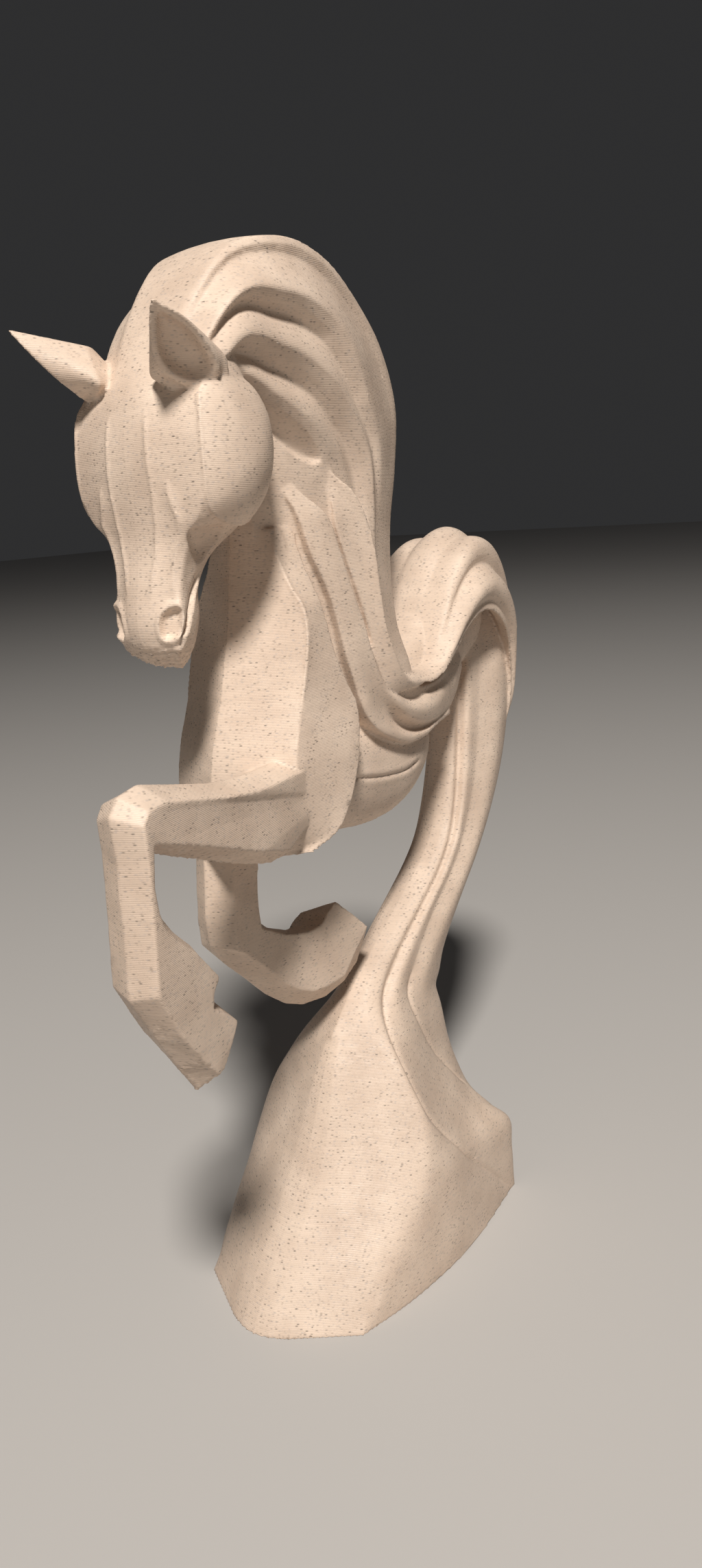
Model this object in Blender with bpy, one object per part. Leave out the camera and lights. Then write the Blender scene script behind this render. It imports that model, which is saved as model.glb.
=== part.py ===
"""Rearing horse sculpture: one printed piece, horse, tail column and pedestal together.

The horse faces -Y, its left side is +X, and the origin is on the flat underside, below the
tail column. The free form keeps its pose and proportions as shares of the height: its rows are
written in UNIT, a millimetre on a piece 150 mm tall. The named sizes below are metres.
"""
import math

import bmesh
import bpy
import numpy as np

height = 0.150           # overall height of the sculpture, floor to crest
base_width = 0.0374      # pedestal at the floor, side to side
base_depth = 0.0559      # pedestal at the floor, front ridge to rear line
column_width = 0.0118    # tail column above the pedestal, side to side
leg_thickness = 0.007    # forelegs, side to side
face_band = 0.0058       # flat band down the middle of the face
groove_depth = 0.0008    # grooves of the tail column
lock_step = 0.001        # step at each lock of the mane
rib_relief = 0.001       # ribs of the croup's fan

UNIT = height / 150


def clear_scene():
    for old in list(bpy.data.objects):
        bpy.data.objects.remove(old, do_unlink=True)


def blend_rows(rows, per_span):
    """Catmull-Rom curve through rows of equal length, per_span steps between two rows."""
    rows = np.array(rows, dtype=float)
    padded = np.vstack([2 * rows[0] - rows[1], rows, 2 * rows[-1] - rows[-2]])
    out = []
    for i in range(len(rows) - 1):
        a, b, c, d = padded[i:i + 4]
        for k in range(per_span):
            t = k / per_span
            out.append(0.5 * (2 * b + (c - a) * t + (2 * a - 5 * b + 4 * c - d) * t ** 2
                              + (3 * b - a - 3 * c + d) * t ** 3))
    out.append(rows[-1])
    return np.array(out)


def blend_rings(rings, per_span):
    rings = np.array(rings, dtype=float)
    flat = blend_rows(rings.reshape(len(rings), -1), per_span)
    return flat.reshape(-1, rings.shape[1], 3)


def skin(name, rings):
    """Closed body through rings of points, each ring a closed loop, flat at both ends."""
    bm = bmesh.new()
    loops = [[bm.verts.new(np.array(p) * UNIT) for p in ring] for ring in rings]
    count = len(loops[0])
    for low, high in zip(loops, loops[1:]):
        for i in range(count):
            j = (i + 1) % count
            bm.faces.new((low[i], low[j], high[j], high[i]))
    bm.faces.new(loops[0][::-1])
    bm.faces.new(loops[-1])
    bmesh.ops.recalc_face_normals(bm, faces=bm.faces)
    bmesh.ops.triangulate(bm, faces=bm.faces)
    mesh = bpy.data.meshes.new(name)
    bm.to_mesh(mesh)
    bm.free()
    body = bpy.data.objects.new(name, mesh)
    bpy.context.scene.collection.objects.link(body)
    return body


def mirror_half(half):
    """Full ring from a half on the +X side whose first and last points are on the middle."""
    return half + [(-x, y, z) for x, y, z in half[-2:0:-1]]


# Pedestal, level rings: height, ridge y, front corner x, widest x, then x and y of groove one,
# lock one, groove two and lock two, and the rear line's y. The floor row's width and depth follow
# base_width and base_depth, and the rows above keep less of a change the higher they are.
PEDESTAL = [
    (0.0, -26.1, 14.3, 18.7, 17.6, 25.4, 17.2, 27.0, 14.0, 28.6, 8.0, 29.6, 29.8),
    (7.0, -21.3, 15.0, 18.4, 17.6, 18.4, 17.0, 27.0, 14.0, 28.6, 8.0, 29.6, 29.8),
    (12.5, -16.2, 15.5, 17.9, 17.3, 13.0, 16.5, 26.4, 13.4, 28.2, 7.5, 29.4, 29.8),
    (17.5, -12.0, 15.9, 17.0, 16.6, 8.9, 13.8, 18.0, 10.0, 25.4, 6.8, 28.6, 29.6),
    (24.0, -7.6, 14.4, 14.9, 14.4, 4.8, 11.4, 12.6, 8.2, 20.6, 6.0, 26.6, 29.5),
    (30.0, -4.0, 10.6, 11.5, 11.1, 4.6, 9.4, 10.0, 7.3, 16.4, 5.6, 25.0, 29.5),
    (35.0, -1.0, 7.3, 8.3, 8.2, 5.2, 7.9, 9.6, 6.6, 14.4, 5.4, 24.0, 29.6),
]
PEDESTAL_TOP = 40.0      # where the pedestal has become the column
FACET_SLOPE = 0.67       # the front facets sweep back by this much a millimetre of width

# Tail column, tilted rings: front y and z, rear y and z, share of the full width, and the angles
# of both grooves round the column from its front
COLUMN = [
    (4.0, 40.0, 30.2, 36.0, 1.02, 40, 62),
    (10.0, 44.2, 30.6, 38.0, 1.0, 38, 62),
    (16.5, 48.2, 31.6, 40.3, 0.99, 38, 62),
    (23.0, 52.0, 34.0, 43.6, 0.99, 38, 62),
    (29.0, 55.8, 38.4, 48.2, 0.99, 37, 62),
    (33.0, 59.6, 44.4, 53.8, 0.99, 35, 61),
    (35.4, 64.5, 50.2, 60.4, 1.0, 32, 60),
    (37.2, 70.5, 55.2, 67.8, 1.02, 28, 59),
    (38.6, 77.5, 58.6, 76.0, 1.02, 25, 58),
    (40.0, 84.5, 60.4, 84.0, 1.02, 22, 56),
    (41.5, 91.0, 60.0, 91.0, 0.95, 22, 56),
    (44.5, 97.0, 56.5, 98.0, 0.78, 22, 56),
]


def pedestal_ring(z, ridge, corner, widest, g1x, g1y, lock1x, lock1y, g2x, g2y, lock2x, lock2y,
                  rear):
    corner_y = ridge + FACET_SLOPE * corner
    span = g1y - corner_y
    ring = mirror_half([
        (0.0, ridge, z), (corner, corner_y, z),
        (0.35 * corner + 0.65 * widest, corner_y + 0.26 * span, z),
        (widest, corner_y + 0.6 * span, z), (g1x, g1y, z), (lock1x, lock1y, z), (g2x, g2y, z),
        (lock2x, lock2y, z), (0.5 * lock2x, 0.5 * (lock2y + rear), z), (0.0, rear, z)])
    floor = PEDESTAL[0]
    keep = 1 - z / PEDESTAL_TOP
    wide = 1 + keep * (base_width / UNIT / (2 * floor[3]) - 1)
    deep = 1 + keep * (base_depth / UNIT / (floor[-1] - floor[1]) - 1)
    return [(x * wide, y * deep, z) for x, y, z in ring]


def column_ring(fy, fz, ry, rz, width_share, groove_one, groove_two):
    front, rear = np.array([fy, fz]), np.array([ry, rz])
    half = 0.5 * width_share * column_width / UNIT
    between = 0.5 * (groove_one + groove_two)
    lines = [(0, 0), (0.5 * groove_one, 0), (0.75 * groove_one, 0), (0.9 * groove_one, 0.1),
             (groove_one, 1), (between, 0), (groove_two, 1), (95, 0), (140, 0), (180, 0)]
    half_ring = []
    for angle, dip in lines:
        size = 1 - dip * groove_depth / UNIT / half
        along = 0.5 * math.cos(math.radians(angle)) * size
        y, z = 0.5 * (front + rear) + (front - rear) * along
        half_ring.append((half * math.sin(math.radians(angle)) * size, y, z))
    return mirror_half(half_ring)


def tail_and_pedestal(steps):
    rings = [pedestal_ring(*row) for row in PEDESTAL] + [column_ring(*row) for row in COLUMN]
    return skin("tail", blend_rings(rings, steps))


# Croup fan: top line y and z, near edge x, y and z, going from the waist over and down the tail
FAN = [
    (21.4, 90.6, 9.0, 17.2, 86.4),
    (23.4, 92.0, 9.3, 19.8, 88.2),
    (25.6, 95.0, 9.4, 22.8, 90.6),
    (28.2, 98.6, 9.5, 26.2, 93.0),
    (31.8, 103.8, 9.4, 30.0, 95.8),
    (36.8, 108.4, 9.3, 34.8, 97.5),
    (42.4, 110.4, 9.1, 40.6, 97.8),
    (47.8, 109.0, 8.6, 45.8, 95.6),
    (52.2, 105.0, 7.8, 49.6, 92.4),
    (55.5, 99.4, 6.8, 52.2, 88.6),
    (57.5, 93.0, 6.2, 53.6, 84.0),
    (58.6, 86.0, 5.7, 54.0, 79.0),
    (58.4, 79.5, 4.6, 53.8, 75.0),
]
FAN_VALLEYS = (0, 27, 55, 82)      # degrees round the arch from its top


def fan_ring(index, count, ty, tz, ex, ey, ez):
    top, edge = np.array([0.0, ty, tz]), np.array([ex, ey, ez])
    swell = math.sin(math.pi * index / (count - 1))
    outward = 0.14 * np.array([0.0, top[1] - edge[1], top[2] - edge[2]])
    angles = []
    for low, high in zip(FAN_VALLEYS, FAN_VALLEYS[1:]):
        angles += [(low, 0.0), (low + 0.5 * (high - low), 1.0)]
    angles += [(FAN_VALLEYS[-1], 0.0), (92, 0.3)]
    half = []
    for angle, rise in angles:
        a = math.radians(angle)
        grow = 1 + rise * rib_relief / UNIT * swell / ex
        x = ex * math.sin(a) * grow
        y, z = edge[1:] + (top[1:] - edge[1:]) * math.cos(a) * grow
        half.append((x, y, z))
    inner = edge + outward
    half.append((0.62 * ex, inner[1], inner[2]))
    half.append((0.0, inner[1] + outward[1], inner[2] + outward[2]))
    return mirror_half(half)


def croup_fan(steps):
    rows = blend_rows(FAN, steps)
    return skin("fan", [fan_ring(i, len(rows), *row) for i, row in enumerate(rows)])


# Neck and waist: inner y and z, outer ridge y and z, the ridge's x, how far the middle stands
# out beyond it, the widest x, then how far out (0 inner, 1 outer ridge) the mane's six locks
# start, from the throat to the crest
NECK = [
    (-26.0, 129.0, -30.6, 131.0, 3.6, 0.6, 5.0, .06, .13, .22, .38, .49, .76),
    (-25.0, 130.0, -28.4, 136.0, 3.8, 0.9, 6.0, .06, .13, .22, .38, .49, .76),
    (-21.5, 129.0, -23.6, 141.4, 4.0, 1.2, 7.0, .06, .13, .22, .36, .49, .76),
    (-18.0, 126.5, -15.5, 146.4, 4.4, 1.2, 8.0, .07, .13, .20, .28, .48, .73),
    (-15.0, 123.5, -6.0, 148.3, 4.8, 1.2, 8.6, .08, .14, .20, .27, .47, .71),
    (-14.0, 120.5, 3.0, 147.0, 5.0, 1.2, 9.0, .09, .15, .22, .30, .49, .72),
    (-13.5, 117.5, 11.0, 143.6, 5.0, 1.2, 9.2, .10, .18, .25, .34, .51, .69),
    (-13.2, 114.5, 17.2, 137.6, 5.0, 1.2, 9.4, .12, .21, .29, .38, .54, .66),
    (-13.0, 111.5, 20.6, 129.6, 5.0, 1.2, 9.5, .14, .25, .33, .42, .58, .68),
    (-12.8, 108.5, 19.6, 121.0, 5.0, 1.2, 9.5, .17, .32, .40, .50, .64, .74),
    (-12.0, 104.8, 17.2, 112.6, 5.2, 1.3, 9.6, .21, .38, .46, .59, .70, .80),
    (-10.0, 100.2, 15.9, 105.0, 5.8, 1.6, 9.9, .24, .43, .51, .62, .74, .84),
    (-6.5, 94.6, 15.4, 98.6, 6.8, 2.4, 10.2, .25, .46, .53, .62, .76, .86),
    (-1.0, 88.2, 15.6, 93.6, 8.0, 3.6, 10.4, .24, .46, .54, .64, .78, .88),
    (6.0, 82.6, 16.8, 90.4, 9.0, 4.4, 10.4, .22, .46, .56, .68, .80, .90),
    (15.0, 79.0, 20.6, 89.0, 9.2, 3.0, 9.8, .21, .43, .58, .73, .83, .92),
    (25.0, 78.4, 25.4, 88.6, 8.4, 2.4, 8.8, .20, .40, .58, .76, .85, .93),
    (34.0, 81.0, 29.6, 90.0, 6.8, 2.0, 7.2, .20, .40, .58, .76, .85, .93),
    (39.5, 86.0, 34.0, 93.0, 5.4, 1.6, 6.0, .20, .40, .58, .76, .85, .93),
]
LOCK_SPANS = ((5, 17), (3, 17), (2, 10), (2, 17), (1, 9), (1, 9))   # rows between which each shows
# how the neck widens from its inner edge outward, as a share of the way to the widest
NECK_SWELL = ((0.0, 0.3), (0.13, 0.6), (0.2, 0.74), (0.38, 0.9), (0.62, 1.0))
LOCK_FOOT = 0.035        # share of the section between a lock's foot and its ridge


def neck_ring(row, iy, iz, oy, oz, ridge_x, bulge, widest, *locks):
    inner, outer = np.array([iy, iz]), np.array([oy, oz])
    places, shares = zip(*NECK_SWELL)
    half = [(0.0, iy, iz)]
    for start, (first, last) in zip(locks, LOCK_SPANS):
        fade = min(1.0, max(0.0, 0.6 * (row - first)), max(0.0, 0.6 * (last - row)))
        step = fade * lock_step / UNIT
        for out, lift in ((start - LOCK_FOOT, -0.5), (start, 0.5)):
            x = widest * float(np.interp(out, places, shares))
            if out > places[-1]:
                t = (out - places[-1]) / (1 - places[-1])
                x = widest + (ridge_x - widest) * t ** 1.5
            y, z = inner + (outer - inner) * out
            half.append((max(x + lift * step, 0.8), y, z))
    half.append((ridge_x, oy, oz))
    y, z = outer + (outer - inner) / np.linalg.norm(outer - inner) * bulge
    half.append((0.0, y, z))
    return mirror_half(half)


def neck_and_waist(steps):
    rows = blend_rows(NECK, steps)
    return skin("neck", [neck_ring(k / steps, *row) for k, row in enumerate(rows)])


# Chest and shoulders, level rings: height, keel y, shoulder corner x, rear edge x and y
CHEST = [
    (72.2, -21.0, 6.4, 10.4, -14.0),
    (74.2, -21.6, 9.0, 11.5, -9.4),
    (77.6, -21.6, 10.0, 11.8, -6.6),
    (81.6, -21.4, 10.3, 11.8, -4.6),
    (86.0, -20.5, 10.2, 11.7, -3.4),
    (90.0, -19.0, 9.6, 11.2, -2.8),
    (93.0, -17.8, 8.6, 10.8, -4.0),
    (97.0, -16.6, 7.4, 10.2, -5.6),
    (102.0, -15.2, 6.4, 8.4, -6.2),
    (108.0, -14.0, 5.8, 7.0, -6.8),
    (114.0, -13.0, 5.0, 5.6, -7.2),
]
CHEST_SLOPE = 0.48       # the breast's two facets sweep back by this much a millimetre of width


def chest_ring(z, keel, corner, rear_x, rear_y):
    corner_y = keel + CHEST_SLOPE * corner
    return mirror_half([(0.0, keel, z), (0.5 * corner, 0.5 * (keel + corner_y), z),
                        (corner, corner_y, z), (rear_x, rear_y, z), (rear_x - 2.2, rear_y + 1.2, z),
                        (0.0, rear_y + 2.0, z)])


def chest():
    return skin("chest", [chest_ring(*row) for row in blend_rows(CHEST, 1)])


# Belly, upright rings: y, top z, bottom z, half-width
BELLY = [
    (-14.0, 88.0, 75.5, 6.0),
    (-6.0, 89.0, 71.5, 7.4),
    (2.0, 89.0, 69.6, 8.0),
    (9.0, 88.0, 68.6, 8.2),
    (15.0, 86.5, 68.8, 8.0),
    (20.5, 85.5, 70.6, 7.2),
    (25.0, 84.0, 74.0, 5.6),
    (28.0, 82.5, 78.4, 3.0),
]


# Haunch under the croup's fan, from the waist back to the tail column, rows as the belly's
HAUNCH = [
    (12.0, 92.0, 84.0, 6.6),
    (18.0, 93.0, 83.0, 7.0),
    (24.0, 96.0, 82.0, 7.0),
    (30.0, 100.0, 82.0, 6.6),
    (35.0, 103.0, 84.0, 6.0),
    (40.0, 105.0, 87.0, 5.6),
    (46.0, 105.0, 90.0, 5.0),
]


def belly_ring(y, top, bottom, half_width):
    middle, rise = 0.5 * (top + bottom), 0.5 * (top - bottom)
    half = []
    for k in range(7):
        a = math.pi * k / 6
        half.append((half_width * abs(math.sin(a)) ** 0.8, y, middle - rise * math.cos(a)))
    half[0], half[-1] = (0.0, y, bottom), (0.0, y, top)
    return mirror_half(half)


def belly(steps):
    return skin("belly", [belly_ring(*row) for row in blend_rows(BELLY, steps)])


def haunch(steps):
    return skin("haunch", [belly_ring(*row) for row in blend_rows(HAUNCH, steps)])


# Head, level rings: height, face y, cheek crease x and y, widest x and y, rear y
HEAD = [
    (98.6, -27.4, 1.4, -27.0, 1.6, -26.0, -25.4),
    (99.8, -29.6, 2.8, -29.0, 3.2, -27.0, -24.8),
    (101.6, -31.4, 4.0, -30.3, 4.6, -28.4, -23.8),
    (104.6, -31.9, 4.8, -30.4, 5.2, -28.4, -22.9),
    (108.0, -31.3, 4.4, -29.6, 4.8, -27.2, -22.4),
    (111.5, -30.6, 4.8, -28.9, 5.2, -26.0, -19.4),
    (114.2, -30.1, 6.6, -28.3, 7.0, -24.6, -15.0),
    (116.0, -29.9, 8.6, -28.2, 9.6, -23.6, -13.4),
    (118.6, -29.6, 9.8, -28.2, 11.4, -23.0, -12.8),
    (122.0, -29.4, 10.2, -28.2, 12.2, -22.8, -12.5),
    (125.6, -29.1, 10.2, -28.1, 12.2, -22.6, -12.5),
    (128.8, -28.8, 9.6, -27.4, 11.0, -22.4, -13.0),
    (131.4, -28.4, 8.0, -26.6, 8.8, -22.0, -14.0),
    (134.0, -27.6, 6.0, -25.6, 6.4, -21.6, -15.6),
    (137.0, -26.2, 4.4, -24.0, 4.6, -21.6, -17.0),
]


def head_ring(z, face, crease_x, crease_y, wide_x, wide_y, rear):
    band = min(0.5 * face_band / UNIT, 0.7 * crease_x)
    return mirror_half([
        (0.0, face, z), (band, face + 0.3, z), (crease_x, crease_y, z),
        (0.5 * (crease_x + wide_x) + 0.5, 0.5 * (crease_y + wide_y) - 0.6, z), (wide_x, wide_y, z),
        (0.88 * wide_x, wide_y + 0.45 * (rear - wide_y), z),
        (0.58 * wide_x, wide_y + 0.82 * (rear - wide_y), z), (0.0, rear, z)])


def head(steps):
    return skin("head", [head_ring(*row) for row in blend_rows(HEAD, steps)])


# Ear: the four corners of its root and its tip, left side
EAR_ROOT = [(4.2, -29.4, 129.6), (10.0, -26.9, 129.0), (9.6, -22.6, 132.3), (5.8, -25.8, 135.0)]
EAR_TIP = (11.4, -35.5, 138.0)


def ear(side):
    root = np.array(EAR_ROOT)
    tip = np.array(EAR_TIP)
    sunk = root + (root.mean(axis=0) - tip) * 0.25
    rings = []
    for share in (0.0, 0.35, 0.7, 0.96):
        ring = root + (tip - root) * share
        ring = np.vstack([ring, ring[0]])
        loop = []
        for k in range(4):
            a, b = ring[k], ring[k + 1]
            loop += [a, 0.5 * (a + b)]
        rings.append(np.array(loop))
    rings.insert(0, np.vstack([[sunk[k], 0.5 * (sunk[k] + sunk[(k + 1) % 4])] for k in range(4)]))
    rings = [ring * (side, 1, 1) for ring in rings]
    return skin("ear", rings)


# Forelegs: side outlines, each row y and z on the middle plane and y and z on the side faces
NEAR_LEG = [
    (-13.0, 84.8, -13.0, 83.4), (-26.0, 85.4, -26.0, 84.0), (-33.0, 86.4, -33.0, 85.0),
    (-40.0, 88.1, -39.9, 86.6), (-45.4, 89.5, -44.8, 87.8), (-48.9, 89.0, -47.8, 87.6),
    (-50.5, 87.2, -48.9, 86.2), (-50.1, 82.0, -48.7, 82.6), (-50.4, 74.5, -49.1, 75.4),
    (-50.9, 67.2, -49.7, 67.8), (-47.0, 60.6, -46.1, 61.2), (-43.9, 55.6, -43.3, 57.4),
    (-41.2, 51.5, -40.4, 54.0), (-38.4, 52.6, -39.2, 54.6), (-35.6, 55.0, -37.4, 56.6),
    (-33.4, 57.6, -36.0, 58.6), (-36.2, 60.5, -38.2, 60.6), (-38.8, 62.2, -40.4, 62.1),
    (-38.4, 63.7, -40.0, 63.8), (-36.7, 64.6, -38.7, 65.4), (-39.5, 69.0, -42.4, 69.8),
    (-42.2, 71.6, -45.2, 72.2), (-44.0, 74.0, -47.2, 74.4), (-44.8, 76.5, -48.0, 76.5),
    (-44.9, 79.4, -48.3, 79.4), (-44.8, 81.8, -47.6, 84.0), (-40.3, 79.8, -40.7, 81.7),
    (-33.0, 76.9, -34.0, 79.2), (-26.3, 74.2, -27.0, 76.6), (-20.0, 72.3, -20.0, 74.4),
    (-13.0, 76.0, -13.0, 77.0)]
FAR_LEG = [
    (-16.6, 84.0, -15.4, 84.0), (-17.2, 74.0, -15.4, 73.0), (-17.8, 66.0, -16.2, 65.4),
    (-18.2, 61.0, -16.5, 60.5), (-17.9, 57.2, -16.4, 56.6), (-15.6, 53.6, -14.8, 55.3),
    (-12.6, 50.4, -11.6, 51.9), (-9.2, 46.6, -8.4, 48.0), (-5.8, 43.8, -6.0, 46.0),
    (-2.6, 42.4, -3.6, 44.7), (1.9, 42.0, -0.6, 44.3), (6.0, 43.2, 2.6, 44.6),
    (8.8, 45.4, 5.2, 48.0), (9.8, 50.2, 7.8, 51.0), (7.0, 53.2, 5.2, 53.8),
    (3.4, 57.0, 1.8, 57.0), (1.6, 56.4, 0.2, 56.0), (-1.0, 55.3, -1.0, 54.6),
    (-4.6, 55.4, -3.6, 54.2), (-8.0, 56.9, -7.9, 55.7), (-10.4, 59.4, -12.0, 58.3),
    (-11.0, 62.4, -12.2, 61.4), (-10.4, 66.0, -12.0, 65.4), (-9.4, 72.0, -11.0, 72.0),
    (-9.0, 84.0, -11.0, 84.0)]
# middle x at a given y is x0 + slope * (y - y0), and the twist lifts the left side of the hoof
NEAR_LEG_LINE = (7.6, -0.13, -14.0, 0.0)
FAR_LEG_LINE = (-6.4, 0.23, -18.0, 0.42)


def foreleg(name, outline, line):
    """Leg between two side faces, swelling to a ridge on its middle plane, swung outward."""
    x0, slope, y0, twist = line

    def ring(first, offset):
        return [(x0 + slope * (row[first] - y0) + offset, row[first],
                 row[first + 1] + offset * twist * min(1.0, max(0.0, (row[first] - y0) / 20)))
                for row in outline]

    half = 0.5 * leg_thickness / UNIT
    return skin(name, [ring(2, -half), ring(0, 0.0), ring(2, half)])


def join_bodies(bodies, name):
    """One solid from overlapping bodies."""
    whole = bodies[0]
    for other in bodies[1:]:
        union = whole.modifiers.new("join", "BOOLEAN")
        union.operation = "UNION"
        union.solver = "EXACT"
        union.object = other
        evaluated = whole.evaluated_get(bpy.context.evaluated_depsgraph_get())
        mesh = bpy.data.meshes.new_from_object(evaluated)
        whole.modifiers.clear()
        whole.data = mesh
        bpy.data.objects.remove(other, do_unlink=True)
    whole.name = name
    whole.data.name = name
    return whole


def printed_stone():
    material = bpy.data.materials.new("speckled stone filament")
    material.use_nodes = True
    shader = material.node_tree.nodes["Principled BSDF"]
    shader.inputs["Base Color"].default_value = (0.56, 0.45, 0.36, 1.0)
    shader.inputs["Roughness"].default_value = 0.55
    shader.inputs["Metallic"].default_value = 0.0
    return material


def build():
    clear_scene()
    bodies = [tail_and_pedestal(2), croup_fan(2), haunch(1), neck_and_waist(2), chest(), belly(1),
              head(1), ear(1), ear(-1), foreleg("near", NEAR_LEG, NEAR_LEG_LINE),
              foreleg("far", FAR_LEG, FAR_LEG_LINE)]
    horse = join_bodies(bodies, "rearing_horse")
    horse.data.materials.clear()
    horse.data.materials.append(printed_stone())
    parts = bpy.data.collections.new("rearing horse sculpture")
    bpy.context.scene.collection.children.link(parts)
    for collection in list(horse.users_collection):
        collection.objects.unlink(horse)
    parts.objects.link(horse)
    return horse


build()
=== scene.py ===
"""Rearing horse sculpture, printed in speckled stone filament: its finished surface and a studio.

The horse faces -Y, its left side is +X. Rows and lines are written in millimetres.
"""
import math

import bmesh
import bpy
import numpy as np
from mathutils import Matrix, Vector, noise


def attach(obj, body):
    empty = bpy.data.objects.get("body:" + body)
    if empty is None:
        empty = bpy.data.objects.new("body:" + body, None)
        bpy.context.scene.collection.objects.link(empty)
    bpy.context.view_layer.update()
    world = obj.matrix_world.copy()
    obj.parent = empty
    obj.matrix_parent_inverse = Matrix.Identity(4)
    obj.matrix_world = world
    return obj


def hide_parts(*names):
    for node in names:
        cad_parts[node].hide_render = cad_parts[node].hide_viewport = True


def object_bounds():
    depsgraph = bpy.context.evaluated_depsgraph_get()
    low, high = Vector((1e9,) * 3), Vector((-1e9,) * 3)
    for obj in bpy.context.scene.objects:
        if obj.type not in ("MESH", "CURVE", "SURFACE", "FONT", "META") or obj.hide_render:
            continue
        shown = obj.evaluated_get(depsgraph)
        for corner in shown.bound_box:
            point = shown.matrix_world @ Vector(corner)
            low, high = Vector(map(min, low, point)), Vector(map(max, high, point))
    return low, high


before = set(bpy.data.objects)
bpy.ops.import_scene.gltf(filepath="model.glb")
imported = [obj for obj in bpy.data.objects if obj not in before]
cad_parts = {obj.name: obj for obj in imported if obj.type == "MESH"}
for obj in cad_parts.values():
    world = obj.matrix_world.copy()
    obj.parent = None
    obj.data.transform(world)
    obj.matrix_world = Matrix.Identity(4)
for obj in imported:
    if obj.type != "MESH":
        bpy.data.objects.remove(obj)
cad_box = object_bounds()

ROWS_HEIGHT = 149.43                                  # the piece's height in the rows below
MM = (cad_box[1][2] - cad_box[0][2]) / ROWS_HEIGHT    # one millimetre of the rows, in metres
LAYER = 0.0002                                        # height of one print layer, in metres

# Camera: its place, heading, pitch, roll and lens as the photograph has them
CAMERA_PLACE = (0.0940, -0.1240, 0.1166)
CAMERA_HEADING = 35.0
CAMERA_PITCH = 14.4
CAMERA_ROLL = 3.9
CAMERA_LENS = 25.2
CAMERA_FILM = 36.0


def flow(rows, steps):
    """Smooth curve through rows of equal length, with steps places between two rows."""
    rows = np.array(rows, dtype=float)
    ends = np.vstack([2 * rows[0] - rows[1], rows, 2 * rows[-1] - rows[-2]])
    places = []
    for a, b, c, d in zip(ends, ends[1:], ends[2:], ends[3:]):
        for t in np.arange(steps) / steps:
            places.append(0.5 * (2 * b + (c - a) * t + (2 * a - 5 * b + 4 * c - d) * t ** 2
                                 + (3 * b - a - 3 * c + d) * t ** 3))
    places.append(rows[-1])
    return np.array(places)


def flow_rings(rings, steps):
    """Smooth surface through rings of points, as rings of points."""
    rings = np.array(rings, dtype=float)
    return flow(rings.reshape(len(rings), -1), steps).reshape(-1, rings.shape[1], 3)


def trace(points, corners, steps):
    """Open line through points: sharp at the corners, smooth between two of them."""
    points = np.array(points, dtype=float)
    line = []
    for first, last in zip(corners, corners[1:]):
        line += list(flow(points[first:last + 1], steps)[:-1])
    line.append(points[corners[-1]])
    return np.array(line)


def round_trip(points, steps):
    """Closed smooth line through points."""
    points = np.array(points, dtype=float)
    around = np.vstack([points[-2:], points, points[:3]])
    return flow(around, steps)[2 * steps:(2 + len(points)) * steps]


def between(value, table):
    """Amount at a value, from a table of values and amounts, straight between its rows."""
    values, amounts = zip(*table)
    return float(np.interp(value, values, amounts))


def limited(value):
    return min(1.0, max(0.0, value))


def mirror_half(half):
    """Full ring from the half on the +X side, whose first and last points are in the middle."""
    half = np.array(half, dtype=float)
    return np.vstack([half, half[-2:0:-1] * (-1, 1, 1)])


def skin(name, rings):
    """Closed body through rings of points, flat at both ends."""
    mesh = bmesh.new()
    loops = [[mesh.verts.new(Vector(p) * MM) for p in ring] for ring in rings]
    count = len(loops[0])
    for low, high in zip(loops, loops[1:]):
        for i in range(count):
            j = (i + 1) % count
            mesh.faces.new((low[i], low[j], high[j], high[i]))
    mesh.faces.new(loops[0][::-1])
    mesh.faces.new(loops[-1])
    bmesh.ops.recalc_face_normals(mesh, faces=mesh.faces)
    data = bpy.data.meshes.new(name)
    mesh.to_mesh(data)
    mesh.free()
    body = bpy.data.objects.new(name, data)
    bpy.context.scene.collection.objects.link(body)
    return body


# Pedestal, level rings: height, ridge y, front corner x, widest x, then x and y of groove one,
# lock one, groove two and lock two, and the rear line's y
PEDESTAL = [
    (0.0, -26.1, 14.3, 18.7, 17.6, 25.4, 17.2, 27.0, 14.0, 28.6, 8.0, 29.6, 29.8),
    (7.0, -21.3, 15.0, 18.4, 17.6, 18.4, 17.0, 27.0, 14.0, 28.6, 8.0, 29.6, 29.8),
    (12.5, -16.2, 15.5, 17.9, 17.3, 13.0, 16.5, 26.4, 13.4, 28.2, 7.5, 29.4, 29.8),
    (17.5, -12.0, 15.9, 17.0, 16.6, 8.9, 13.8, 18.0, 10.0, 25.4, 6.8, 28.6, 29.6),
    (24.0, -7.6, 14.4, 14.9, 14.4, 4.8, 11.4, 12.6, 8.2, 20.6, 6.0, 26.6, 29.5),
    (30.0, -4.0, 10.6, 11.5, 11.1, 4.6, 9.4, 10.0, 7.3, 16.4, 5.6, 25.0, 29.5),
    (35.0, -1.0, 7.3, 8.1, 7.8, 5.4, 8.0, 9.8, 7.3, 14.6, 5.6, 24.0, 29.6),
]
FRONT_SWEEP = 0.67       # the front facets sweep back by this much a millimetre of width
SIDE_PLACES = (0.26, 0.6)     # the side's two points, as shares of the way to groove one
SIDE_SWELL = 0.65             # share of the widest x that the first of them has

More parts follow.
